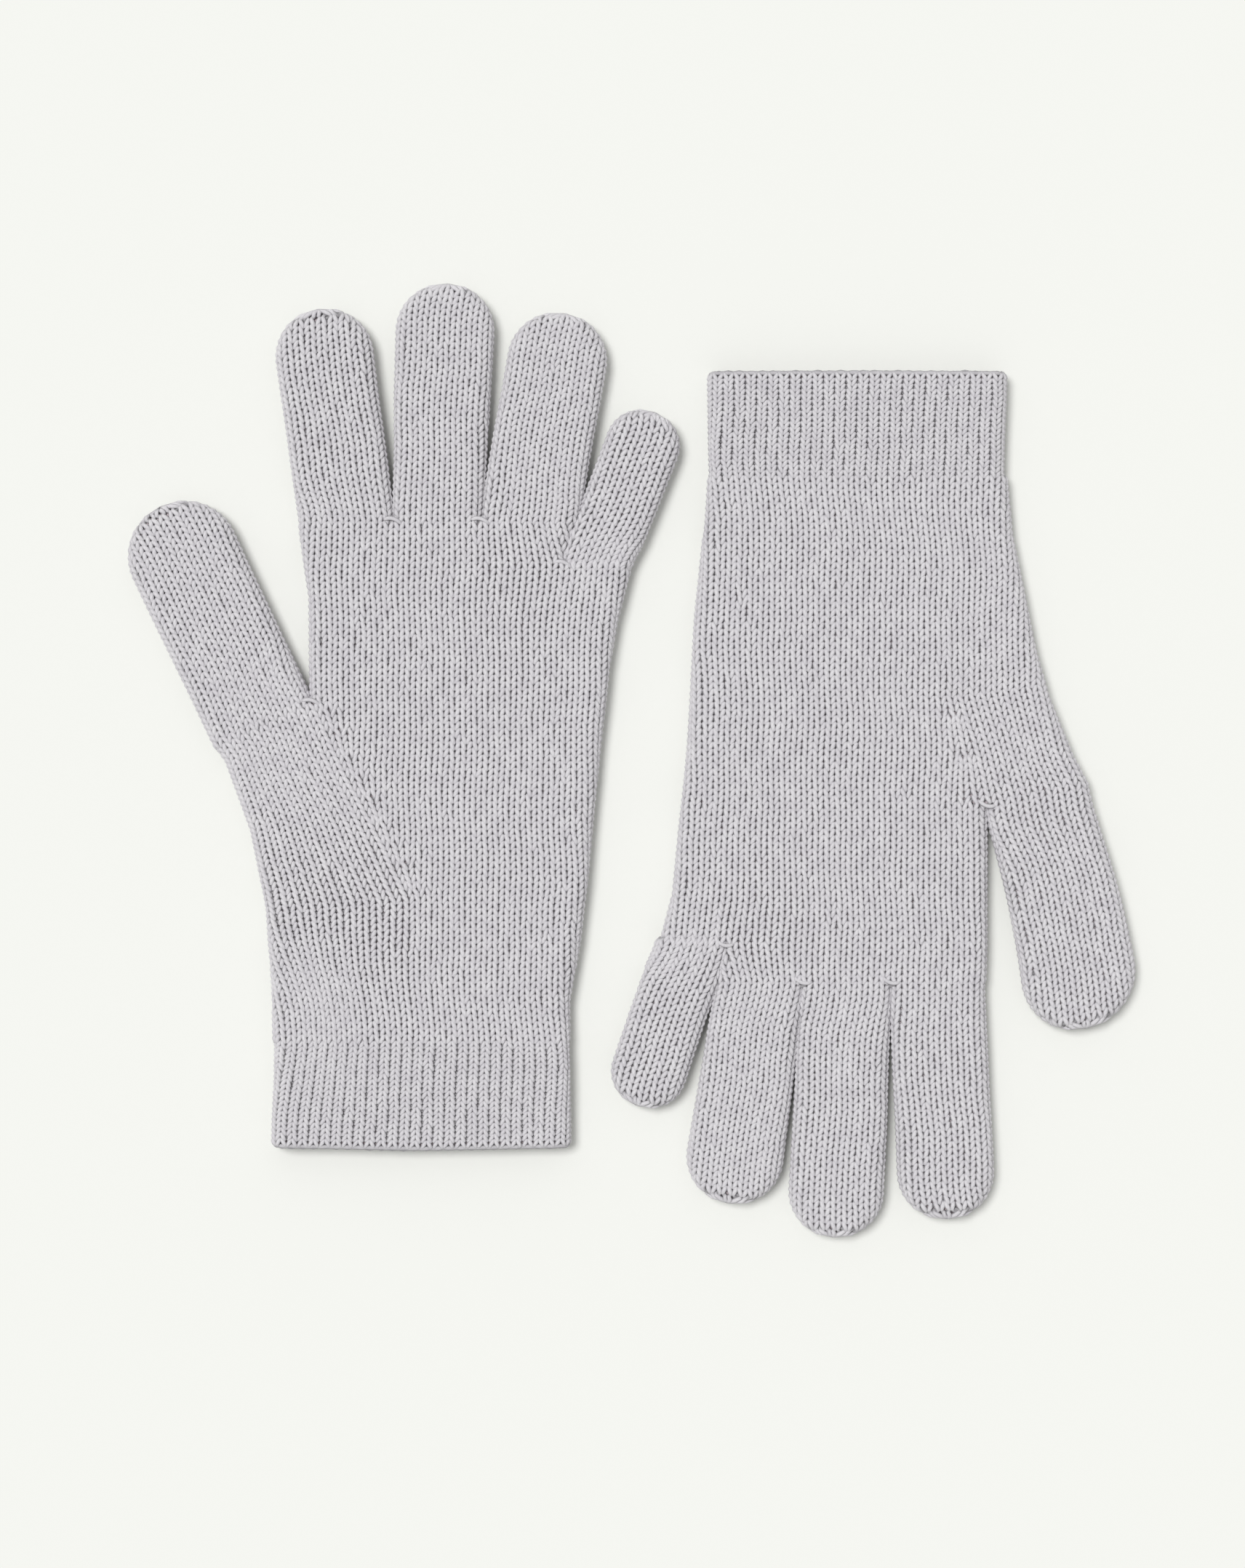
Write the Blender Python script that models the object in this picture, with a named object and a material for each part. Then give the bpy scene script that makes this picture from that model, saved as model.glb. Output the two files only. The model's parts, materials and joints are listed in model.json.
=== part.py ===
"""A pair of knitted gloves lying flat: the left one palm up, the right one back up and turned round.

Metres, +Z up. The origin is on the table, at the middle of the pair. Each glove has its own frame:
u runs across the hand with the thumb at -u, and v runs from the cuff's edge to the fingertips.
Every finger is two hollow pieces that fold up off the table, about lines across the hand.
"""

import math

import bmesh
import bpy
from mathutils import Matrix, Vector

# Fabric, and the height of a glove lying flat.
WALL = 0.0020
THICKNESS = 0.0090
FOLD_HEIGHT = THICKNESS / 2
RIM_RADIUS = 0.0032
CAVITY_RIM_RADIUS = 0.0018
GAP = 0.0003

# The rib cuff.
CUFF_HALF_WIDTH = 0.0420
CUFF_LENGTH = 0.0295

# Fold lines: how far the solids reach past them before they are trimmed, and the notch that
# opens above each so that the two pieces can fold by a quarter turn.
OVERRUN = 0.0100
NOTCH_SLOPE = math.tan(math.radians(46.0))
TRIM_INTO_NEIGHBOUR = 0.0005
TRIM_INTO_AIR = 0.0050
SLIVER = 0.00003

# Half the width of the floor of the slit between two digits.
CROTCH_HALF_WIDTH = 0.0003

# Smoothness of the outlines and of their rounded rims.
OUTLINE_STEPS = 3
TIP_STEPS = 8
RIM_STEPS = 1

DIGITS = ("thumb", "index", "middle", "ring", "little")

# Where each glove lies: the middle of its cuff's edge, and how far it is turned about Z.
# "digits" gives each digit's root centre, the centre of its round tip, and the half widths there,
# then the v at which its two folds cross its own line.
# "thumb_side" and "little_side" are the hand's two edges from the cuff up, and "crotches" are the
# corners between neighbouring digits, from the thumb to the little finger.
GLOVES = {
    "left": {
        "origin": (-0.0585, -0.1095),
        "turn": 0.0,
        "digits": {
            "thumb": ((-0.0483, 0.1268), (-0.0679, 0.1673), 0.0150, 0.0150, (0.1357, 0.1576)),
            "index": ((-0.0212, 0.1780), (-0.0275, 0.2238), 0.0128, 0.0130, (0.1865, 0.2119)),
            "middle": ((0.0044, 0.1780), (0.0067, 0.2308), 0.0120, 0.0131, (0.1865, 0.2139)),
            "ring": ((0.0303, 0.1770), (0.0369, 0.2220), 0.0130, 0.0136, (0.1865, 0.2099)),
            "little": ((0.0495, 0.1650), (0.0620, 0.1984), 0.0098, 0.0100, (0.1750, 0.1917)),
        },
        "thumb_side": ((-0.0414, 0.0480), (-0.0425, 0.0674), (-0.0470, 0.0895), (-0.0547, 0.1094)),
        "little_side": ((0.0418, 0.0480), (0.0450, 0.0700), (0.0487, 0.1000), (0.0547, 0.1500)),
        "crotches": ((-0.0310, 0.1262), (-0.0080, 0.1779), (0.0166, 0.1761), (0.0402, 0.1658)),
        "index_side": (-0.0310, 0.1520),
    },
    "right": {
        "origin": (0.0647, 0.1099),
        "turn": math.pi,
        "digits": {
            "thumb": ((-0.0503, 0.1257), (-0.0614, 0.1703), 0.0152, 0.0155, (0.1355, 0.1596)),
            "index": ((-0.0226, 0.1740), (-0.0251, 0.2262), 0.0128, 0.0131, (0.1855, 0.2126)),
            "middle": ((0.0030, 0.1740), (0.0060, 0.2315), 0.0122, 0.0128, (0.1855, 0.2131)),
            "ring": ((0.0273, 0.1720), (0.0344, 0.2220), 0.0116, 0.0129, (0.1855, 0.2090)),
            "little": ((0.0469, 0.1625), (0.0587, 0.1978), 0.0099, 0.0101, (0.1731, 0.1907)),
        },
        "thumb_side": ((-0.0436, 0.0460), (-0.0480, 0.0636), (-0.0546, 0.0902), (-0.0615, 0.1080)),
        "little_side": ((0.0430, 0.0480), (0.0451, 0.0700), (0.0473, 0.1030), (0.0519, 0.1490)),
        "crotches": ((-0.0360, 0.1223), (-0.0096, 0.1721), (0.0152, 0.1710), (0.0374, 0.1628)),
        "index_side": (-0.0358, 0.1500),
    },
}

LAVENDER_GREY = (0.585, 0.570, 0.600, 1.0)
CUFF_GREY = (0.570, 0.555, 0.590, 1.0)
THUMB_GREY = (0.600, 0.585, 0.612, 1.0)


def clear_scene():
    for obj in list(bpy.data.objects):
        bpy.data.objects.remove(obj, do_unlink=True)


def collection(name):
    made = bpy.data.collections.new(name)
    bpy.context.scene.collection.children.link(made)
    return made


def wool(name, colour):
    material = bpy.data.materials.new(name)
    material.use_nodes = True
    shader = material.node_tree.nodes["Principled BSDF"]
    shader.inputs["Base Color"].default_value = colour
    shader.inputs["Roughness"].default_value = 0.92
    shader.inputs["Metallic"].default_value = 0.0
    return material


def glove_matrix(glove):
    """Takes a glove's own frame to the pair's frame."""
    u, v = glove["origin"]
    return Matrix.Translation((u, v, 0.0)) @ Matrix.Rotation(glove["turn"], 4, "Z")


def slab(name, outline, bottom, top, rim_radius, smooth=()):
    """A flat closed solid of this outline with rounded rims. Points in smooth are on a soft curve."""
    curve = bpy.data.curves.new(name, "CURVE")
    curve.dimensions = "2D"
    curve.fill_mode = "BOTH"
    curve.resolution_u = OUTLINE_STEPS
    curve.extrude = (top - bottom) / 2 - rim_radius
    curve.bevel_depth = rim_radius
    curve.bevel_resolution = RIM_STEPS
    curve.offset = -rim_radius
    spline = curve.splines.new("BEZIER")
    spline.bezier_points.add(len(outline) - 1)
    spline.use_cyclic_u = True
    for index, (point, (u, v)) in enumerate(zip(spline.bezier_points, outline)):
        point.co = (u, v, 0.0)
        handle = "AUTO" if index in smooth else "VECTOR"
        point.handle_left_type = handle
        point.handle_right_type = handle
    shape = bpy.data.objects.new(name + "_outline", curve)
    bpy.context.scene.collection.objects.link(shape)
    bpy.context.view_layer.update()
    mesh = bpy.data.meshes.new_from_object(shape.evaluated_get(bpy.context.evaluated_depsgraph_get()))
    bpy.data.objects.remove(shape, do_unlink=True)
    edit = bmesh.new()
    edit.from_mesh(mesh)
    bmesh.ops.remove_doubles(edit, verts=edit.verts, dist=0.00001)
    bmesh.ops.translate(edit, verts=edit.verts, vec=(0.0, 0.0, (top + bottom) / 2))
    bmesh.ops.recalc_face_normals(edit, faces=edit.faces)
    edit.to_mesh(mesh)
    edit.free()
    mesh.name = name
    return bpy.data.objects.new(name, mesh)


def prism(name, side_outline, u_low, u_high):
    """A block whose side view is an outline in v and z, between two values of u."""
    edit = bmesh.new()
    ring = [edit.verts.new((u_low, v, z)) for v, z in side_outline]
    face = edit.faces.new(ring)
    swept = bmesh.ops.extrude_face_region(edit, geom=[face])["geom"]
    moved = [item for item in swept if isinstance(item, bmesh.types.BMVert)]
    bmesh.ops.translate(edit, verts=moved, vec=(u_high - u_low, 0.0, 0.0))
    bmesh.ops.recalc_face_normals(edit, faces=edit.faces)
    mesh = bpy.data.meshes.new(name)
    edit.to_mesh(mesh)
    edit.free()
    return bpy.data.objects.new(name, mesh)


class Digit:
    """A finger or a thumb: a straight tube with a round tip, in its glove's frame."""

    def __init__(self, name, root, tip_centre, root_half, tip_half, folds):
        self.name = name
        self.root = Vector(root)
        self.tip_centre = Vector(tip_centre)
        self.root_half = root_half
        self.tip_half = tip_half
        self.line = (self.tip_centre - self.root).normalized()
        self.across = Vector((self.line.y, -self.line.x))
        self.length = (self.tip_centre - self.root).length
        rise = self.tip_centre.y - self.root.y
        self.folds = [self.root.lerp(self.tip_centre, (v - self.root.y) / rise) for v in folds]

    def half_at(self, along):
        share = along / self.length
        return self.root_half + (self.tip_half - self.root_half) * share

    def edge(self, side, along, inset=0.0):
        """A point on the tube's edge, side -1 towards the thumb and 1 away from it."""
        return self.root + self.line * along + self.across * side * (self.half_at(along) - inset)

    def tube_outline(self, start, inset=0.0):
        """From start along the digit round its tip and back."""
        points = [self.edge(-1, start, inset)]
        radius = self.tip_half - inset
        for step in range(TIP_STEPS + 1):
            angle = math.pi * step / TIP_STEPS
            offset = self.across * -math.cos(angle) + self.line * math.sin(angle)
            points.append(self.tip_centre + offset * radius)
        points.append(self.edge(1, start, inset))
        return points

    def fold_turn(self):
        """Fingers fold about a line straight across the hand, and the thumb about its own."""
        return math.atan2(self.line.x, self.line.y) if self.name == "thumb" else 0.0

    def fold_matrix(self, fold):
        """Takes a side view about the fold to the glove's frame, its sides along the digit."""
        place = Matrix.Translation((fold.x, fold.y, 0.0))
        if self.name == "thumb":
            return place @ Matrix.Rotation(-self.fold_turn(), 4, "Z")
        shear = Matrix.Identity(4)
        shear[0][1] = self.line.x / self.line.y
        return place @ shear


def beyond_fold(name, digit, fold, side, reach, spare):
    """What is trimmed off a piece at a fold: side 1 trims towards the tip, -1 towards the root.

    spare is how far it is wider than the digit, towards the thumb and away from it.
    """
    low, high = -0.001, THICKNESS + 0.001
    edge = side * -GAP / 2
    opened = edge - side * (high - FOLD_HEIGHT) * NOTCH_SLOPE
    outline = [(side * reach, low), (edge, low), (edge, FOLD_HEIGHT), (opened, high), (side * reach, high)]
    half = max(digit.root_half, digit.tip_half) / digit.line.y
    cutter = prism(name, outline, -half - spare[0], half + spare[1])
    cutter.matrix_world = digit.fold_matrix(fold)
    return cutter


def hand_outline(glove, digits, inset, low_v):
    """The hand with a stub of every digit, and which of its points are on a soft curve."""
    points = [Vector((-CUFF_HALF_WIDTH + inset, low_v))]
    soft = []

    def add(point, is_soft=False):
        if is_soft:
            soft.append(len(points))
        points.append(Vector(point))

    def stub(digit, side):
        fold = digit.folds[0]
        along = (fold - digit.root).length + OVERRUN
        add(digit.edge(side, along, inset))

    def crotch(corner):
        u, v = corner
        half = CROTCH_HALF_WIDTH + inset
        add((u - half, v - inset))
        add((u + half, v - inset))

    add((-CUFF_HALF_WIDTH + inset, CUFF_LENGTH + 2 * GAP))
    for u, v in glove["thumb_side"]:
        add((u + inset, v), True)
    stub(digits["thumb"], -1)
    stub(digits["thumb"], 1)
    crotch(glove["crotches"][0])
    add(Vector(glove["index_side"]) + Vector((inset, 0.0)), True)
    for name, corner in zip(DIGITS[1:], glove["crotches"][1:] + (None,)):
        stub(digits[name], -1)
        stub(digits[name], 1)
        if corner:
            crotch(corner)
    for u, v in reversed(glove["little_side"]):
        add((u - inset, v), True)
    add((CUFF_HALF_WIDTH - inset, CUFF_LENGTH + 2 * GAP))
    add((CUFF_HALF_WIDTH - inset, low_v))
    return points, soft


def subtract(piece, cutter, matrix, cutters):
    """Trims the piece by a helper that is given in the glove's frame."""
    if cutter.name not in cutters.objects:
        cutter.matrix_world = matrix @ cutter.matrix_world
        cutter.hide_render = True
        cutter.display_type = "WIRE"
        cutters.objects.link(cutter)
    trim = piece.modifiers.new(cutter.name, "BOOLEAN")
    trim.operation = "DIFFERENCE"
    trim.object = cutter


def place(piece, matrix, material, parts):
    piece.matrix_world = matrix
    piece.data.materials.append(material)
    parts.objects.link(piece)


def put_origin_on(piece, point, glove_frame):
    """Moves the piece's origin to its fold without moving its shape."""
    shift = Vector((point.x, point.y, FOLD_HEIGHT))
    piece.data.transform(Matrix.Translation(-shift))
    piece.matrix_world = glove_frame @ Matrix.Translation(shift)


def make_cuff(side, matrix, material, parts, cutters):
    """The ribbed band at the wrist, open at both ends."""
    over = RIM_RADIUS * 2
    half, low, high = CUFF_HALF_WIDTH, -over, CUFF_LENGTH + over
    outline = [Vector(p) for p in ((-half, low), (-half, high), (half, high), (half, low))]
    cuff = slab(f"{side}_cuff", outline, 0.0, THICKNESS, RIM_RADIUS)
    place(cuff, matrix, material, parts)
    half -= WALL
    inner = [Vector(p) for p in ((-half, 2 * low), (-half, 2 * high), (half, 2 * high), (half, 2 * low))]
    hollow = slab(f"{side}_cuff_hollow", inner, WALL, THICKNESS - WALL, CAVITY_RIM_RADIUS)
    subtract(cuff, hollow, matrix, cutters)
    below, above = -0.001, THICKNESS + 0.001
    reach = 0.040
    for name, edge, way in (("bottom", 0.0, -1), ("top", CUFF_LENGTH, 1)):
        block = [(edge, below), (edge, above), (edge + way * reach, above), (edge + way * reach, below)]
        end = prism(f"{side}_cuff_{name}_trim", block, -2 * CUFF_HALF_WIDTH, 2 * CUFF_HALF_WIDTH)
        subtract(cuff, end, matrix, cutters)


def make_hand(side, glove, digits, matrix, material, parts, cutters):
    """The palm and back as one hollow, with the first stretch of each digit."""
    outline, soft = hand_outline(glove, digits, 0.0, CUFF_LENGTH - 2 * RIM_RADIUS)
    hand = slab(f"{side}_hand", outline, 0.0, THICKNESS, RIM_RADIUS, soft)
    place(hand, matrix, material, parts)
    inner, soft = hand_outline(glove, digits, WALL, CUFF_LENGTH - 4 * RIM_RADIUS)
    hollow = slab(f"{side}_hand_hollow", inner, WALL, THICKNESS - WALL, CAVITY_RIM_RADIUS, soft)
    subtract(hand, hollow, matrix, cutters)
    below, above = -0.001, THICKNESS + 0.001
    edge = CUFF_LENGTH + GAP
    block = [(edge, below), (edge, above), (edge - 0.040, above), (edge - 0.040, below)]
    wrist = prism(f"{side}_hand_trim", block, -2 * CUFF_HALF_WIDTH, 2 * CUFF_HALF_WIDTH)
    subtract(hand, wrist, matrix, cutters)
    for digit in digits.values():
        name = f"{side}_{digit.name}_stub_trim"
        towards_thumb = TRIM_INTO_AIR if digit.name in ("thumb", "index") else TRIM_INTO_NEIGHBOUR
        away = TRIM_INTO_AIR if digit.name == "little" else TRIM_INTO_NEIGHBOUR
        trim = beyond_fold(name, digit, digit.folds[0], 1, 2.5 * OVERRUN, (towards_thumb, away))
        subtract(hand, trim, matrix, cutters)
    weld = hand.modifiers.new("join_slivers", "WELD")
    weld.merge_threshold = SLIVER


def make_digit(side, digit, matrix, material, parts, cutters):
    """A digit's two hollow pieces, trimmed at the folds, each with its origin on its own fold."""
    start = (digit.folds[0] - digit.root).length - OVERRUN
    for piece_name, fold, next_fold in (
        ("base", digit.folds[0], digit.folds[1]),
        ("tip", digit.folds[1], None),
    ):
        name = f"{side}_{digit.name}_{piece_name}"
        outline = digit.tube_outline(start)
        piece = slab(name, outline, 0.0, THICKNESS, RIM_RADIUS)
        place(piece, matrix, material, parts)
        put_origin_on(piece, fold, matrix)
        inner = digit.tube_outline(start - OVERRUN, WALL)
        hollow = slab(f"{name}_hollow", inner, WALL, THICKNESS - WALL, CAVITY_RIM_RADIUS)
        subtract(piece, hollow, matrix, cutters)
        wide = (4 * TRIM_INTO_AIR, 4 * TRIM_INTO_AIR)
        root_trim = beyond_fold(f"{name}_root_trim", digit, fold, -1, 0.060, wide)
        subtract(piece, root_trim, matrix, cutters)
        if next_fold:
            tip_trim = beyond_fold(f"{name}_tip_trim", digit, next_fold, 1, 0.060, wide)
            subtract(piece, tip_trim, matrix, cutters)


def main():
    clear_scene()
    parts = collection("knitted_gloves")
    cutters = collection("cutters")
    hand_wool = wool("hand_knit", LAVENDER_GREY)
    cuff_wool = wool("cuff_rib", CUFF_GREY)
    thumb_wool = wool("thumb_knit", THUMB_GREY)
    finger_wool = wool("finger_knit", LAVENDER_GREY)
    for side, glove in GLOVES.items():
        matrix = glove_matrix(glove)
        digits = {name: Digit(name, *glove["digits"][name]) for name in DIGITS}
        make_cuff(side, matrix, cuff_wool, parts, cutters)
        make_hand(side, glove, digits, matrix, hand_wool, parts, cutters)
        for digit in digits.values():
            material = thumb_wool if digit.name == "thumb" else finger_wool
            make_digit(side, digit, matrix, material, parts, cutters)


main()
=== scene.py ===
"""A pair of knitted gloves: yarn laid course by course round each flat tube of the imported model."""

import json
import math

import bpy
import numpy as np
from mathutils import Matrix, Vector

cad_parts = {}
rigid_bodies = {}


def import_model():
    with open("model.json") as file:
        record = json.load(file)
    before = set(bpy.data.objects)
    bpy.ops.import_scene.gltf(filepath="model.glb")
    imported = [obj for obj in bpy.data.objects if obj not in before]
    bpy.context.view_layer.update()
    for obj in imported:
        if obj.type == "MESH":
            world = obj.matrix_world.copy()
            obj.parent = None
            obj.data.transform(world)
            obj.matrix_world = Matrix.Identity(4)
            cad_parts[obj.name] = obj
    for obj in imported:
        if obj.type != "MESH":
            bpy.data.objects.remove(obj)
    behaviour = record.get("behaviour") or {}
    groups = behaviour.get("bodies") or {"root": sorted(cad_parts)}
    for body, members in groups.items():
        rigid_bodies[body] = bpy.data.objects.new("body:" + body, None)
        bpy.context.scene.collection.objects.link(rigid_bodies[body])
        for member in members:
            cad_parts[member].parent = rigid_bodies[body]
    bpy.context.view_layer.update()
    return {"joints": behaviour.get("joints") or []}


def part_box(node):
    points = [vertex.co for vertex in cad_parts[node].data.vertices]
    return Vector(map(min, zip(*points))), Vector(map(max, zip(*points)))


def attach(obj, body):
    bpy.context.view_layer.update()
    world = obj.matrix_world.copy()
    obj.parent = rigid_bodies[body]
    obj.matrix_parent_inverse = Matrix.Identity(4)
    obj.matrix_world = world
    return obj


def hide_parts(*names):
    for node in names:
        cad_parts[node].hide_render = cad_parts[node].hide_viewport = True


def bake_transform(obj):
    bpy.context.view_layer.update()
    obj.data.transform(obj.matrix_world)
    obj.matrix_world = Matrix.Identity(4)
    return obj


MM = 0.001

# The knitting. A wale is a column of stitches, a course is a row of them.
WALE = 3.14 * MM
COURSE = 1.88 * MM
RIB_COURSE = 1.52 * MM
YARN_RADIUS = 0.61 * MM
LEG_SWELL = 0.13  # a stitch's two legs are this much plumper than its bends
LOOP_DEPTH = 0.58 * MM  # legs stand this far in front of the fabric's middle, bends as far behind
LOOP_SWAY = 0.23  # sideways swing of a loop, in wales
LOOP_RISE = 0.93  # half height of a loop, in courses
RIB_PULL = 0.03  # how far a rib stitch's legs are drawn to its middle, in wales
POINTS_PER_STITCH = 12
SIDES = 6
UNEVEN = 0.035  # spread of a hand-knitted stitch's size
SEED = 7

# The tube of fabric: middle of the glove's thickness, and from there to the middle of the yarn.
MID_HEIGHT = 4.5 * MM
FABRIC_DEPTH = 3.25 * MM
# The inner sheet stands for the glove's inside and, darker than the yarn, for painted shade behind the gaps
# between stitches.
INSIDE_OFFSET = 0.75 * MM  # the fabric's inner side lies this far behind the yarn's middle
SEAM_CELL, SIDE_CELL = 0.55, 0.2  # beside a seam and at a tube's side, the narrowest stitch in wales

CUFF_TOP = 29.6 * MM
CUFF_HALF_WIDTH = 41.3 * MM
WELT_RADIUS = 0.68 * MM
WELT_POINTS = 60  # in each quarter of the tube
PICK_UP_HALF = 2.7  # half length of the stitch that bridges a crotch, in millimetres
TURN_LENGTH = 15.0 * MM  # a finger's courses turn square to it over this length

# Each glove in its own millimetres: u across the hand, thumb on the minus side, and v from the cuff's
# edge to the fingertips. A digit is its root, the centre of its round tip, its half width at each.
GLOVES = {
    "left": {
        "turn": 1,
        "palm_up": True,
        "digits": {
            "thumb": ((-48.0, 126.8), (-67.4, 167.4), 14.7, 14.9),
            "index": ((-21.2, 178.0), (-27.5, 223.8), 12.8, 13.0),
            "middle": ((4.4, 178.0), (6.7, 230.8), 12.0, 13.1),
            "ring": ((30.3, 177.0), (38.3, 222.3), 13.2, 13.3),
            "little": ((49.5, 165.0), (62.4, 198.4), 9.7, 9.7),
        },
        "thumb_side": (
            (-41.4, 28.0), (-41.9, 47.5), (-43.2, 67.4), (-47.4, 89.5), (-54.7, 109.4), (-68.0, 132.6),
        ),
        "index_side": ((-31.0, 120.0), (-31.0, 155.8), (-33.7, 173.5), (-34.2, 180.0)),
        "little_side": (
            (41.2, 28.0), (41.2, 41.0), (44.2, 58.6), (47.2, 85.1), (50.0, 113.8), (52.3, 135.9),
            (54.7, 149.2), (58.6, 163.5),
        ),
        "ring_side": ((39.9, 164.0), (43.5, 178.0)),
        "thumb_crotch": (-31.0, 126.0),
        "thumb_bow": 0.0,
        "hem_bulge": 0.8,
        "little_crotch": 165.0,
        "hand_top": 177.2,
    },
    "right": {
        "turn": -1,
        "palm_up": False,
        "digits": {
            "thumb": ((-52.0, 125.7), (-61.8, 170.2), 14.2, 15.4),
            "index": ((-22.5, 174.0), (-25.2, 226.4), 12.8, 12.8),
            "middle": ((3.0, 174.0), (5.9, 231.8), 12.2, 12.6),
            "ring": ((27.3, 172.0), (34.4, 222.0), 11.6, 12.9),
            "little": ((46.9, 162.5), (58.7, 197.8), 9.8, 9.9),
        },
        "thumb_side": (
            (-41.8, 28.0), (-43.4, 45.9), (-46.9, 63.6), (-49.9, 79.0), (-53.5, 92.0), (-60.5, 109.0),
            (-67.9, 127.8),
        ),
        "index_side": ((-36.4, 118.0), (-35.9, 161.0), (-35.5, 178.0)),
        "little_side": (
            (41.2, 28.0), (42.2, 41.4), (45.0, 68.0), (47.3, 105.7), (50.0, 134.5), (51.3, 147.7),
            (55.0, 161.0),
        ),
        "ring_side": ((37.6, 160.0), (39.5, 176.5)),
        "thumb_crotch": (-36.6, 122.3),
        "thumb_bow": 1.4,
        "hem_bulge": 0.2,
        "little_crotch": 161.6,
        "hand_top": 172.2,
    },
}
# Where the hand's two fields of wales meet, from a v upwards to the thumb's crotch: the u it starts at,
# that v, and how many wales lie between it and the hand's edge at the thumb's root.
PALM_LINE = (-WALE, 70.5 * MM, 11)
BACK_LINE = (-9 * WALE, 92 * MM, 9)
EDGE_CURVE = 1.6  # how late the courses bend down to meet the thumb's
SPLAY_FROM, SPLAY_TO = 12 * MM, 41 * MM  # the wales between these turn towards the little finger
SPLAY = WALE
SPLAY_RISE = 45 * MM
DRIFT = WALE  # the palm's outer wales lean inwards by this much above the cuff, then back
DRIFT_FROM, DRIFT_FULL, DRIFT_TO = 4 * MM, 40 * MM, 70 * MM

# A tube's four quarters in order round it: which side each lies on and whether it faces up or down.
# Yarn runs inwards over the first and third, and outwards over the others.
AROUND = ((-1, 1), (1, 1), (1, -1), (-1, -1))
INWARD = (True, False, True, False)

random = np.random.default_rng(SEED)


def plan_line(points, at):
    """The u of a measured outline at each v, both in metres."""
    points = np.array(points) * MM
    return np.interp(at, points[:, 1], points[:, 0])


def smooth(share):
    """An eased step from 0 to 1."""
    share = np.clip(share, 0, 1)
    return share * share * (3 - 2 * share)


def columns(*values):
    """Points from their coordinates, each an array or one number for all of them."""
    return np.stack(np.broadcast_arrays(*values), -1).astype(float)


def drift(c):
    """How far the palm's outer wales lean at each course: inwards above the cuff, then back."""
    rising = smooth((c - DRIFT_FROM) / (DRIFT_FULL - DRIFT_FROM))
    falling = smooth((DRIFT_TO - c) / (DRIFT_TO - DRIFT_FULL))
    return -DRIFT * rising * falling


class Quarter:
    """A quarter of a flattened tube, from a line along one face out to the tube's side.

    Everything is a table over the course coordinate, in metres along the tube. shift is the distance
    from the inner line to a boundary between wales, and facing is 1 on top and -1 underneath. splay
    is how far the outer wales are pushed outwards.
    """

    def __init__(self, course, inner, outer, facing, shift=0.0, pitch=WALE, depth=FABRIC_DEPTH, splay=0.0):
        self.course, self.inner, self.outer = course, inner, outer
        self.splay = np.broadcast_to(splay, course.shape)
        self.facing = facing
        self.pitch = np.broadcast_to(pitch, course.shape)
        span = np.linalg.norm(outer - inner, axis=1)
        self.depth = np.minimum(np.broadcast_to(depth, span.shape), np.maximum(span, 0.3 * MM))
        self.shift = np.broadcast_to(shift, span.shape)

    def read(self, table, c):
        return np.interp(c, self.course, table)

    def frame(self, c):
        inner = columns(*(self.read(self.inner[:, k], c) for k in (0, 1)))
        outer = columns(*(self.read(self.outer[:, k], c) for k in (0, 1)))
        across = outer - inner
        span = np.maximum(np.linalg.norm(across, axis=-1), 0.2 * MM)
        depth = np.minimum(self.read(self.depth, c), span)
        return inner, across / span[..., None], span, depth

    def reach(self, c):
        """Length along the surface from the inner line to the tube's side."""
        _, _, span, depth = self.frame(c)
        return span - depth + depth * math.pi / 2

    def surface(self, c, x):
        """Points and outward directions at course c and distance x from the inner line."""
        inner, across, span, depth = self.frame(c)
        flat = span - depth
        angle = np.clip((x - flat) / depth, 0, math.pi / 2)
        along = np.minimum(x, flat) + depth * np.sin(angle)
        plan = inner + across * along[..., None]
        height = MID_HEIGHT + self.facing * depth * np.cos(angle)
        point = np.concatenate([plan, height[..., None]], -1)
        up = self.facing * np.cos(angle)
        normal = np.concatenate([across * np.sin(angle)[..., None], up[..., None]], -1)
        return point, normal

    def boundaries(self, c):
        """Boundaries between the stitches of the course at c: rows of (pitches, shifts, reaches)."""
        shift, pitch = float(self.read(self.shift, c)), float(self.read(self.pitch, c))
        reach = float(self.reach(c) - self.read(self.splay, c))
        first = math.ceil(SEAM_CELL - shift / pitch)
        last = math.floor((reach - shift) / pitch - SIDE_CELL)
        inside = [(k, 1.0, 0.0) for k in range(first, last + 1)]
        edges = np.array([(0.0, 0.0, 0.0), *inside, (0.0, 0.0, 1.0)])
        if len(edges) > 2:  # the odd width left over beside a seam is shared by two stitches
            edges[1] = (edges[0] + edges[2]) / 2
        return edges

    def stitches(self, c_row, loop, inward):
        """Yarn of one course over this quarter: points, normals, both (stitches, points, 3)."""
        edges = self.boundaries(c_row)
        near, far = edges[:-1, None, :], edges[1:, None, :]
        if inward:
            near, far = far[::-1], near[::-1]
        count = len(near)
        wobble = random.normal(0, UNEVEN, (count, 3))[:, :, None]
        rise = loop["rise"] * (1 + wobble[:, 0]) * np.cos(loop["phase"])
        c = c_row + rise + wobble[:, 1] * loop["course"] * np.sin(loop["phase"] / 2) ** 2
        splay = self.read(self.splay, c)
        spaces = np.stack([self.read(self.pitch, c), self.read(self.shift, c), self.reach(c) - splay], -1)
        start, end = (near * spaces).sum(-1), (far * spaces).sum(-1)
        x = start + (end - start) * (loop["across"] + wobble[:, 2] * np.sin(loop["phase"] / 2))
        x = np.maximum(x, 0)
        x = x + splay * smooth((x - SPLAY_FROM) / (SPLAY_TO - SPLAY_FROM))
        point, normal = self.surface(c, x)
        point = point + normal * loop["lift"][:, None]
        return point, normal


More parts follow.
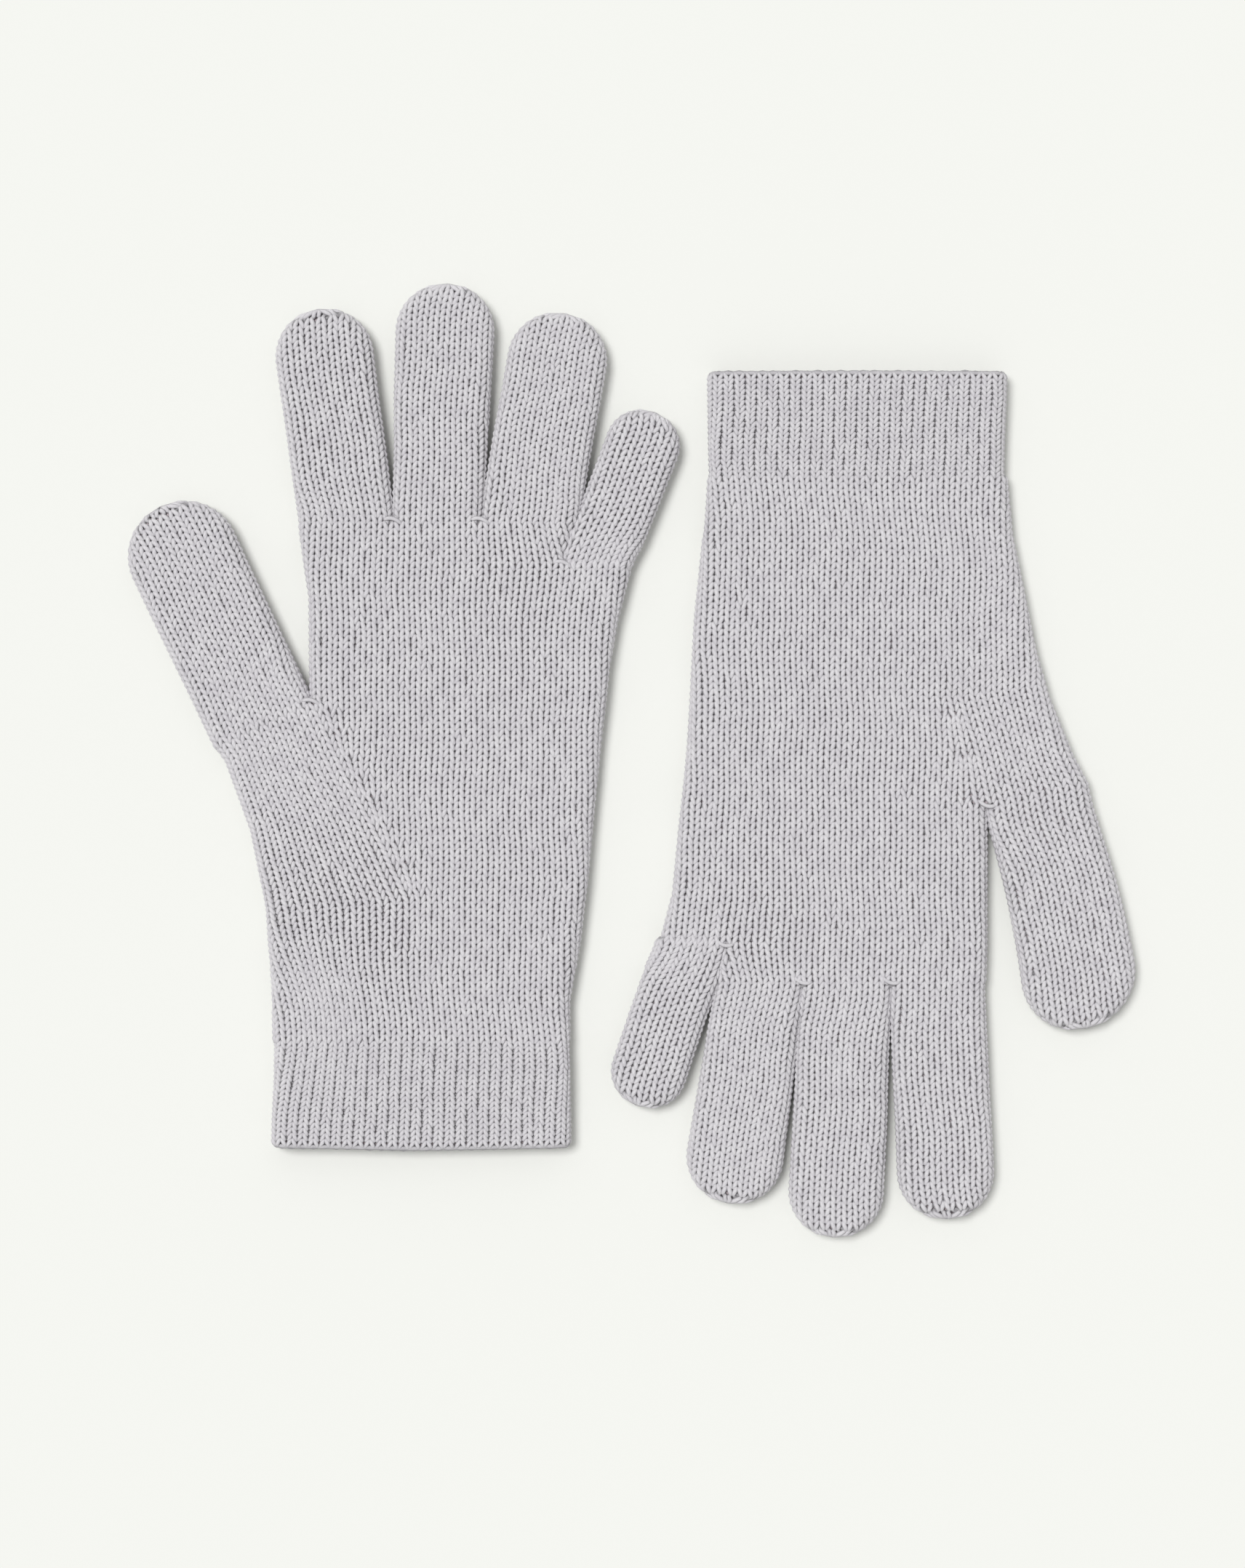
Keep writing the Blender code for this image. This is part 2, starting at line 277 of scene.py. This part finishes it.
def make_loop(course, rise=LOOP_RISE, sway=LOOP_SWAY, depth=LOOP_DEPTH, pull=0.0, radius=YARN_RADIUS):
    """One stitch's shape: its bend towards the fingertips is at both ends, the other in the middle."""
    phase = np.arange(POINTS_PER_STITCH) / POINTS_PER_STITCH * 2 * math.pi
    across = phase / (2 * math.pi) + sway * np.sin(2 * phase) + pull * np.sin(phase)
    return {
        "phase": phase,
        "across": across,
        "rise": rise * course,
        "course": course,
        "lift": -depth * np.cos(2 * phase),
        "radius": radius * (1 - LEG_SWELL * np.cos(2 * phase)),
    }


PLAIN = make_loop(COURSE)
RIB = make_loop(RIB_COURSE, rise=0.98, sway=0.26, pull=RIB_PULL, radius=0.90 * YARN_RADIUS)


def ring_of(quarters, c_row, loop):
    """One course all round the tube, as a closed yarn: points, outward directions, radii, lifts."""
    points, normals = [], []
    for quarter, inward in zip(quarters, INWARD):
        p, n = quarter.stitches(c_row, loop, inward)
        points.append(p.reshape(-1, 3))
        normals.append(n.reshape(-1, 3))
    points, normals = np.concatenate(points), np.concatenate(normals)
    count = len(points) // POINTS_PER_STITCH
    return points, normals, np.tile(loop["radius"], count), np.tile(loop["lift"], count)


def wavy(points, normals):
    """The slight drift of the columns that any hand-smoothed knitting has."""
    u, v = points[:, 0] / MM, points[:, 1] / MM
    sway = 0.22 * np.sin(v / 9.1 + 0.7 * np.sin(u / 13.0)) + 0.16 * np.sin(v / 4.3 + u / 17.0)
    sway += 0.85 * np.sin(v / 11.5 + u / 45.0 - 1.0) * np.exp(-(((v - 35.0) / 30.0) ** 2))
    lift = 0.10 * np.sin(u / 11.0 + v / 15.0) - 0.10
    points = points + normals * (lift * MM)[:, None]
    points[:, 0] += sway * MM * np.abs(normals[:, 2])
    return points


def tube(points, normals, radii, lifts, closed=True):
    """Vertices, quads, the yarn coordinates (cos, sin, length) and the heights of a yarn's surface."""
    if closed:
        tangent = np.roll(points, -1, 0) - np.roll(points, 1, 0)
    else:
        tangent = np.gradient(points, axis=0)
    tangent /= np.linalg.norm(tangent, axis=1)[:, None] + 1e-12
    side = np.cross(tangent, normals)
    side /= np.linalg.norm(side, axis=1)[:, None] + 1e-12
    front = np.cross(side, tangent)
    turn = np.arange(SIDES) / SIDES * 2 * math.pi
    ring = np.cos(turn)[None, :, None] * side[:, None, :] + np.sin(turn)[None, :, None] * front[:, None, :]
    vertices = points[:, None, :] + ring * radii[:, None, None]
    count = len(points)
    steps = np.linalg.norm(np.diff(points, axis=0), axis=1)
    length = np.concatenate([[0], np.cumsum(steps)])
    marks = columns(np.cos(turn)[None, :], np.sin(turn)[None, :], length[:, None] / MM)
    i = np.arange(count if closed else count - 1)[:, None]
    j = np.arange(SIDES)[None, :]
    i2, j2 = (i + 1) % count, (j + 1) % SIDES
    quads = np.stack([i * SIDES + j, i2 * SIDES + j, i2 * SIDES + j2, i * SIDES + j2], -1)
    heights = lifts[:, None] + np.sin(turn)[None, :] * radii[:, None]
    return vertices.reshape(-1, 3), quads.reshape(-1, 4), marks.reshape(-1, 3), heights.ravel()


def inside_of(quarters, low, high, step):
    """The plain inner side of the fabric, as a sheet of quads round the tube: the glove's inside, and
    painted shade behind the gaps between stitches in its darker material.
    """
    rows = []
    for c in np.linspace(low, high, max(3, int((high - low) / step))):
        row = []
        for quarter, inward in zip(quarters, INWARD):
            share = np.linspace(0, 1, 14, endpoint=False)
            share = 1 - share if inward else share
            point, normal = quarter.surface(np.full(len(share), c), share * quarter.reach(c))
            row.append(point - normal * INSIDE_OFFSET)
        rows.append(np.concatenate(row))
    grid = np.array(rows)
    count, around = grid.shape[:2]
    i, j = np.arange(count - 1)[:, None], np.arange(around)[None, :]
    j2 = (j + 1) % around
    quads = np.stack([i * around + j, (i + 1) * around + j, (i + 1) * around + j2, i * around + j2], -1)
    flat = grid.reshape(-1, 3)
    return flat, quads.reshape(-1, 4), np.zeros_like(flat), np.full(len(flat), -INSIDE_OFFSET)


def mesh_object(name, parts, materials):
    """One mesh from (vertices, quads, marks, heights, material index) parts."""
    starts = np.cumsum([0] + [len(p[0]) for p in parts[:-1]])
    vertices = np.concatenate([p[0] for p in parts])
    quads = np.concatenate([p[1] + s for p, s in zip(parts, starts)])
    marks = np.concatenate([p[2] for p in parts])
    heights = np.concatenate([p[3] for p in parts])
    slots = np.concatenate([np.full(len(p[1]), p[4]) for p in parts])
    mesh = bpy.data.meshes.new(name)
    mesh.vertices.add(len(vertices))
    mesh.vertices.foreach_set("co", vertices.astype(np.float32).ravel())
    mesh.loops.add(quads.size)
    mesh.loops.foreach_set("vertex_index", quads.astype(np.int32).ravel())
    mesh.polygons.add(len(quads))
    mesh.polygons.foreach_set("loop_start", (np.arange(len(quads)) * 4).astype(np.int32))
    mesh.polygons.foreach_set("material_index", slots.astype(np.int32))
    mesh.polygons.foreach_set("use_smooth", np.ones(len(quads), bool))
    attribute = mesh.attributes.new("yarn", "FLOAT_VECTOR", "POINT")
    attribute.data.foreach_set("vector", marks.astype(np.float32).ravel())
    # The heights drive the wool's painted shade in the hollows and painted highlight on the tops.
    attribute = mesh.attributes.new("height", "FLOAT", "POINT")
    attribute.data.foreach_set("value", (heights / MM).astype(np.float32))
    mesh.update()
    for material in materials:
        mesh.materials.append(material)
    made = bpy.data.objects.new(name, mesh)
    bpy.context.scene.collection.objects.link(made)
    return made


class Glove:
    """One glove: places its local metres in the row frame and knits its tubes."""

    def __init__(self, side, yarn, shade):
        self.side, self.facts = side, GLOVES[side]
        self.turn = self.facts["turn"]
        low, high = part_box(f"{side}_cuff")
        self.origin = np.array([(low.x + high.x) / 2, low.y if self.turn > 0 else high.y, 0.0])
        self.materials = [yarn, shade]
        self.thumb_pitch = {}

    def place(self, points):
        """Local points in the row frame: the right glove lies turned half round."""
        return points * np.array([self.turn, self.turn, 1.0]) + self.origin

    def knit(self, name, quarters, rows, loop, extra=()):
        """A tube of fabric as one object: a yarn for each course and the fabric's inner side, a darker
        sheet that is also painted shade behind the gaps between stitches.
        """
        parts = []
        for c in rows:
            points, normals, radii, lifts = ring_of(quarters, c, loop)
            points = wavy(points, normals)
            parts.append((*tube(points, normals, radii, lifts), 0))
        spacing = rows[1] - rows[0]
        # The inner sheet, in the darker second material: painted shade behind the gaps between stitches.
        parts.append((*inside_of(quarters, rows[0] - 0.6 * spacing, rows[-1] + 0.6 * spacing, 2.5 * MM), 1))
        parts += list(extra)
        parts = [(self.place(p[0]), *p[1:]) for p in parts]
        return mesh_object(f"{self.side}_{name}", parts, self.materials)

    def cuff(self):
        """The ribbed cuff, with its welt."""
        c = np.linspace(-2 * MM, CUFF_TOP + 2 * MM, 40)
        inner = columns(0.0, c - self.facts["hem_bulge"] * MM * (1 - c / CUFF_TOP))
        half = CUFF_HALF_WIDTH + 0.3 * MM * np.cos(c / CUFF_TOP * math.pi)
        palm = (-1, 1 if self.facts["palm_up"] else -1)
        quarters = []
        for sign, facing in AROUND:
            splay = drift(c) if (sign, facing) == palm else 0.0
            quarters.append(Quarter(c, inner, columns(sign * half, c), facing, splay=splay))
        rows = np.arange(1.1 * MM + WELT_RADIUS, CUFF_TOP, RIB_COURSE)
        self.last_rib = rows[-1]
        return self.knit("cuff_rib", quarters, rows, RIB, [self.welt(quarters)])

    def welt(self, quarters):
        """The smooth rolled edge that starts the cuff."""
        points, normals = [], []
        for quarter, inward in zip(quarters, INWARD):
            share = np.linspace(0, 1, WELT_POINTS, endpoint=False)
            share = 1 - share if inward else share
            at = np.full(len(share), WELT_RADIUS)
            point, normal = quarter.surface(at, share * quarter.reach(WELT_RADIUS))
            points.append(point - normal * 0.3 * MM)
            normals.append(normal)
        points, normals = np.concatenate(points), np.concatenate(normals)
        count = len(points)
        bumps = np.sin(np.arange(count) * 2 * math.pi / 5) + random.normal(0, 0.5, count)
        radii = WELT_RADIUS * (1 + 0.08 * bumps)
        return (*tube(points, normals, radii, np.zeros(count)), 0)

    def lower_hand(self, palm):
        """The top or underside quarters of the hand from the cuff to the thumb's crotch."""
        facts = self.facts
        crotch_u, crotch_v = crotch = np.array(facts["thumb_crotch"]) * MM
        root, tip, half, _ = (np.array(x) * MM for x in facts["digits"]["thumb"])
        line = (tip - root) / np.linalg.norm(tip - root)
        thumb_edge = crotch - 2 * half * np.array([line[1], -line[0]])
        outline = [p for p in facts["thumb_side"] if p[1] < thumb_edge[1] / MM - 2]
        outline += [thumb_edge / MM, (thumb_edge + 10 * MM * line) / MM]
        c = np.linspace(CUFF_TOP - 2 * MM, crotch_v + 2 * MM, 160)
        share = np.clip((c - CUFF_TOP) / (crotch_v - CUFF_TOP), 0, 1.05)
        edge_v = c - (crotch_v - thumb_edge[1]) * share**EDGE_CURVE
        outer = columns(plan_line(outline, edge_v), edge_v)
        start_u, start_v, wales = PALM_LINE if palm else BACK_LINE
        inner_u = np.interp(c, [start_v, crotch_v], [start_u, crotch_u])
        inner = columns(inner_u, c)
        fitted = Quarter(c, inner, outer, 1).reach(c) / wales
        self.thumb_pitch[palm] = float(np.interp(crotch_v, c, fitted))
        if palm:
            pitch = np.interp(c, [CUFF_TOP, start_v], [WALE, np.interp(start_v, c, fitted)])
            pitch = np.where(c > start_v, fitted, pitch)
        else:
            pitch = np.maximum(fitted, WALE)
        far = columns(plan_line(facts["little_side"], c), c)
        facing = 1 if palm == facts["palm_up"] else -1
        left = Quarter(c, inner, outer, facing, pitch=pitch, splay=drift(c) if palm else 0.0)
        right = Quarter(c, inner, far, facing, -inner_u, splay=self.splay(c))
        return left, right

    def splay(self, c):
        """How far the outer wales have turned towards the little finger at each course."""
        above = c - self.facts["little_crotch"] * MM
        rise = np.clip(1 + above / SPLAY_RISE, 0, 1) ** 2
        fall = (self.facts["hand_top"] - self.facts["little_crotch"]) * MM
        return SPLAY * np.where(above < 0, rise, np.clip(1 - above / fall, 0, 1))

    def hand(self):
        """The hand as five objects, and the course that its knitting ends at."""
        facts = self.facts
        top_left, top_right = self.lower_hand(facts["palm_up"])
        low_left, low_right = self.lower_hand(not facts["palm_up"])
        lower = [top_left, top_right, low_right, low_left]
        crotch_v = facts["thumb_crotch"][1] * MM
        top = facts["hand_top"] * MM
        c = np.linspace(crotch_v - 2 * MM, top + 2 * MM, 120)
        left_u = plan_line(facts["index_side"], c)
        little = facts["little_crotch"] * MM
        inner = columns(0.0, c)
        splay = self.splay(c)
        upper = {}
        for side in ("little_side", "ring_side"):
            right_u = plan_line(facts[side], c)
            upper[side] = [
                Quarter(c, inner, columns(u, c), facing, splay=pushed)
                for u, facing, pushed in (
                    (left_u, 1, 0.0), (right_u, 1, splay), (right_u, -1, splay), (left_u, -1, 0.0),
                )
            ]
        rows = np.arange(self.last_rib + (RIB_COURSE + COURSE) / 2, top, COURSE)
        below, above = rows[rows < crotch_v], rows[rows >= crotch_v]
        self.last_below = below[-1]
        fingers = facts["digits"]
        crotches = []
        for a, b in (("index", "middle"), ("middle", "ring")):
            (a_root, _, a_half, _), (b_root, _, b_half, _) = fingers[a], fingers[b]
            crotches.append(((a_root[0] + a_half + b_root[0] - b_half) / 2, facts["hand_top"]))
        crotches.append((facts["ring_side"][0][0], facts["little_crotch"]))
        finger_stitches = [part for at in crotches for part in self.pick_up(at)]
        thumb_stitch = self.pick_up(facts["thumb_crotch"])
        thirds = np.array_split(below, 3)
        made = [self.knit(f"hand_knit_{k + 1}", lower, part, PLAIN) for k, part in enumerate(thirds)]
        for name, side, part, stitches in (
            ("hand_knit_4", "little_side", above[above < little], thumb_stitch),
            ("hand_knit_5", "ring_side", above[above >= little], finger_stitches),
        ):
            made.append(self.knit(name, upper[side], part, PLAIN, stitches))
        return made, rows[-1]

    def pick_up(self, at):
        """The slanting stitch that bridges a crotch, on top and underneath."""
        share = np.linspace(-1, 1, 15)
        u = at[0] + PICK_UP_HALF * share
        v = at[1] - 0.6 + 1.1 * (1 - share**2) - 0.7 * share
        parts = []
        for facing in (1, -1):
            lift = FABRIC_DEPTH + (0.75 - 0.9 * share**4) * MM
            points = columns(u * MM, v * MM, MID_HEIGHT + facing * lift)
            normals = columns(0.0, 0.0, facing * np.ones(15))
            radii = YARN_RADIUS * np.sqrt(np.maximum(1 - share**6, 0.02))
            parts.append((*tube(points, normals, radii, np.full(15, 0.4 * MM), closed=False), 0))
        return parts

    def digit_quarters(self, digit, start):
        """The four quarters of a finger's or thumb's tube, and the course coordinate of its very tip."""
        root, tip, root_half, tip_half = self.facts["digits"][digit]
        root, tip = np.array(root) * MM, np.array(tip) * MM
        root_half, tip_half = root_half * MM, tip_half * MM
        length = np.linalg.norm(tip - root)
        line = (tip - root) / length
        end = length + tip_half
        c = np.linspace(start - 2 * MM, end, 200)
        half = np.interp(c, [0, length], [root_half, tip_half])
        beyond = np.clip((c - length) / tip_half, 0, 1)
        half = half * np.sqrt(1 - beyond**2)
        closing = np.clip((c - (end - FABRIC_DEPTH)) / FABRIC_DEPTH, 0, 1)
        depth = FABRIC_DEPTH * np.sqrt(1 - 0.9 * closing**2)
        lean = math.atan2(-line[0], line[1])
        angle = lean * (1.0 if digit == "thumb" else smooth((c - start) / TURN_LENGTH))
        across = columns(np.cos(angle), np.sin(angle))
        centre = root + line * c[:, None]
        if digit == "thumb":
            bow = self.facts["thumb_bow"] * MM * np.sin(np.clip(c / end, 0, 1) * math.pi)
            centre = centre - across * bow[:, None]
        edges = {sign: centre + across * (sign * half)[:, None] for sign in (-1, 1)}
        # The finger's wales start as the hand's and settle to a whole number across.
        settled = smooth(c / TURN_LENGTH)
        bend = FABRIC_DEPTH * (math.pi / 2 - 1)
        moved = SPLAY if digit == "little" else 0.0
        across_face = 2 * (root_half + bend)
        fitted = across_face / round(across_face / WALE)
        quarters = []
        for sign, facing in AROUND:
            if digit == "thumb":
                first_pitch = self.thumb_pitch[self.facts["palm_up"] == (facing == 1)]
                nearest = root_half - round(root_half / first_pitch) * first_pitch
            else:
                first_pitch = WALE
                nearest = round((root[0] - moved) / WALE) * WALE + moved - root[0]
            on_left = round((root_half + nearest + bend) / first_pitch)
            offset = nearest + settled * (on_left * fitted - bend - root_half - nearest)
            inner = centre + across * (offset * half / root_half)[:, None]
            pitch = first_pitch + settled * (fitted - first_pitch)
            quarters.append(Quarter(c, inner, edges[sign], facing, depth=depth, pitch=pitch))
        return quarters, end

    def digit(self, name, start):
        """A digit as two objects that meet halfway between its folds."""
        quarters, end = self.digit_quarters(name, start)
        joints = {j["name"]: j for j in frame["joints"]}
        folds = [joints[f"{self.side}_{name}_{which}_fold"] for which in ("root", "middle")]
        root, tip = (np.array(p) * MM for p in self.facts["digits"][name][:2])
        line = (tip - root) / np.linalg.norm(tip - root)
        places = []
        for fold in folds:
            local = (np.array(fold["pos_m"]) - self.origin)[:2] * self.turn
            places.append(float((local - root) @ line))
        halfway = sum(places) / 2
        rows = np.append(np.arange(start, end - 0.9 * COURSE, COURSE), end - 0.45 * COURSE)
        for part, own, fold in (
            ("root_knit", rows[rows < halfway], folds[0]),
            ("tip_knit", rows[rows >= halfway], folds[1]),
        ):
            made = self.knit(f"{name}_{part}", quarters, own, PLAIN)
            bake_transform(made)
            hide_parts(fold["child"])

    def make(self):
        """Everything in place of its CAD solids; the cuff's and the hand's pieces on the hand's body, the
        digits' pieces on no body.
        """
        body = f"{self.side}_hand"
        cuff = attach(self.cuff(), body)
        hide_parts(f"{self.side}_cuff")
        pieces, last_row = self.hand()
        for piece in pieces:
            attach(piece, body)
            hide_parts(f"{self.side}_hand")
        crotch_u, crotch_v = np.array(self.facts["thumb_crotch"]) * MM
        for name, (root, tip, half, _) in self.facts["digits"].items():
            root, tip = np.array(root) * MM, np.array(tip) * MM
            if name == "thumb":
                line = (tip - root) / np.linalg.norm(tip - root)
                start = float((np.array([crotch_u, crotch_v]) - root) @ line)
                start += self.last_below + COURSE - crotch_v
            elif name == "little":
                start = self.facts["little_crotch"] * MM - root[1]
            else:
                start = last_row + COURSE - root[1]
            self.digit(name, start)


def new_material(name):
    material = bpy.data.materials.new(name)
    material.use_nodes = True
    tree = material.node_tree
    return material, tree, tree.nodes["Principled BSDF"]


def wool(name):
    """Pale lavender-grey yarn: soft sheen, faint mottling, painted shade darkening the hollows with a faint
    painted highlight on the tops, the plies' twist as bump.
    """
    material, tree, shader = new_material(name)
    nodes, links = tree.nodes, tree.links
    shader.inputs["Roughness"].default_value = 0.92
    shader.inputs["Specular IOR Level"].default_value = 0.12
    shader.inputs["Sheen Weight"].default_value = 0.12
    shader.inputs["Sheen Roughness"].default_value = 0.5
    shader.inputs["Sheen Tint"].default_value = (0.97, 0.96, 1.0, 1)
    place = nodes.new("ShaderNodeTexCoord")
    mottle = nodes.new("ShaderNodeTexNoise")
    mottle.inputs["Scale"].default_value = 260
    mottle.inputs["Detail"].default_value = 3
    ramp = nodes.new("ShaderNodeValToRGB")
    ramp.color_ramp.elements[0].position = 0.30
    ramp.color_ramp.elements[0].color = (0.638, 0.620, 0.648, 1)
    ramp.color_ramp.elements[1].position = 0.70
    ramp.color_ramp.elements[1].color = (0.716, 0.702, 0.721, 1)
    links.new(place.outputs["Object"], mottle.inputs["Vector"])
    links.new(mottle.outputs["Fac"], ramp.inputs["Fac"])
    # Painted shade: the colour darkens the lower a point of the yarn lies, to 0.60 in the deep bends, with
    # a faint painted highlight of 1.07 on the highest tops.
    height = nodes.new("ShaderNodeAttribute")
    height.attribute_name = "height"
    painted_hollow_shade = nodes.new("ShaderNodeMapRange")
    painted_hollow_shade.interpolation_type = "SMOOTHSTEP"
    painted_hollow_shade.inputs["From Min"].default_value = 0.05
    painted_hollow_shade.inputs["From Max"].default_value = 1.18
    painted_hollow_shade.inputs["To Min"].default_value = 0.60
    painted_hollow_shade.inputs["To Max"].default_value = 1.07
    links.new(height.outputs["Fac"], painted_hollow_shade.inputs["Value"])
    shaded = nodes.new("ShaderNodeVectorMath")
    shaded.operation = "SCALE"
    links.new(ramp.outputs["Color"], shaded.inputs[0])
    links.new(painted_hollow_shade.outputs["Result"], shaded.inputs["Scale"])
    links.new(shaded.outputs["Vector"], shader.inputs["Base Color"])
    yarn = nodes.new("ShaderNodeAttribute")
    yarn.attribute_name = "yarn"
    split = nodes.new("ShaderNodeSeparateXYZ")
    links.new(yarn.outputs["Vector"], split.inputs["Vector"])
    angle = nodes.new("ShaderNodeMath")
    angle.operation = "ARCTAN2"
    links.new(split.outputs["Y"], angle.inputs[0])
    links.new(split.outputs["X"], angle.inputs[1])
    plies = nodes.new("ShaderNodeMath")
    plies.operation = "MULTIPLY"
    plies.inputs[1].default_value = 6.0
    links.new(angle.outputs[0], plies.inputs[0])
    twist = nodes.new("ShaderNodeMath")
    twist.operation = "MULTIPLY_ADD"
    twist.inputs[1].default_value = 7.5
    links.new(split.outputs["Z"], twist.inputs[0])
    links.new(plies.outputs[0], twist.inputs[2])
    wave = nodes.new("ShaderNodeMath")
    wave.operation = "SINE"
    links.new(twist.outputs[0], wave.inputs[0])
    bump = nodes.new("ShaderNodeBump")
    bump.inputs["Strength"].default_value = 0.35
    bump.inputs["Distance"].default_value = 0.08 * MM
    links.new(wave.outputs[0], bump.inputs["Height"])
    links.new(bump.outputs["Normal"], shader.inputs["Normal"])
    return material


def plain(name, colour, roughness):
    material, _, shader = new_material(name)
    shader.inputs["Base Color"].default_value = (*colour, 1)
    shader.inputs["Roughness"].default_value = roughness
    shader.inputs["Specular IOR Level"].default_value = 0.0
    return material


def make_stage():
    """A plain pale floor just under the gloves."""
    bpy.ops.mesh.primitive_plane_add(size=4.0, location=(0, 0, -0.3 * MM))
    floor = bpy.context.active_object
    floor.name = "floor"
    floor.data.materials.append(plain("floor", (0.905, 0.913, 0.872), 1.0))


def make_lights():
    world = bpy.data.worlds.new("studio")
    bpy.context.scene.world = world
    world.use_nodes = True
    world.node_tree.nodes["Background"].inputs["Color"].default_value = (1, 1, 1, 1)
    world.node_tree.nodes["Background"].inputs["Strength"].default_value = 0.45
    sun = bpy.data.lights.new("key", "SUN")
    sun.energy = 1.89
    sun.angle = math.radians(24)
    key = bpy.data.objects.new("key", sun)
    key.rotation_euler = (math.radians(-11), math.radians(-17), 0)
    bpy.context.scene.collection.objects.link(key)


def make_camera():
    """Straight above the pair, framed as in the photograph."""
    data = bpy.data.cameras.new("camera")
    data.sensor_width = 36
    data.lens = 85
    camera = bpy.data.objects.new("camera", data)
    frame_height = 443 * MM
    distance = frame_height / 2 / (data.sensor_width / 2 / data.lens)
    camera.location = (-1.65 * MM, -6.7 * MM, distance + 7 * MM)
    bpy.context.scene.collection.objects.link(camera)
    bpy.context.scene.camera = camera


for startup in [o for o in bpy.data.objects if o.type in ("CAMERA", "LIGHT") or o.name == "Cube"]:
    bpy.data.objects.remove(startup)
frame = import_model()
yarn_material = wool("wool")
# The inner sheets' darker colour: the glove's inside and painted shade seen through the gaps between
# stitches.
shade_material = plain("wool_inside_painted_shade", (0.68, 0.59, 0.62), 1.0)
for glove_side in GLOVES:
    Glove(glove_side, yarn_material, shade_material).make()
make_stage()
make_lights()
make_camera()
bpy.context.scene.view_settings.view_transform = "Standard"
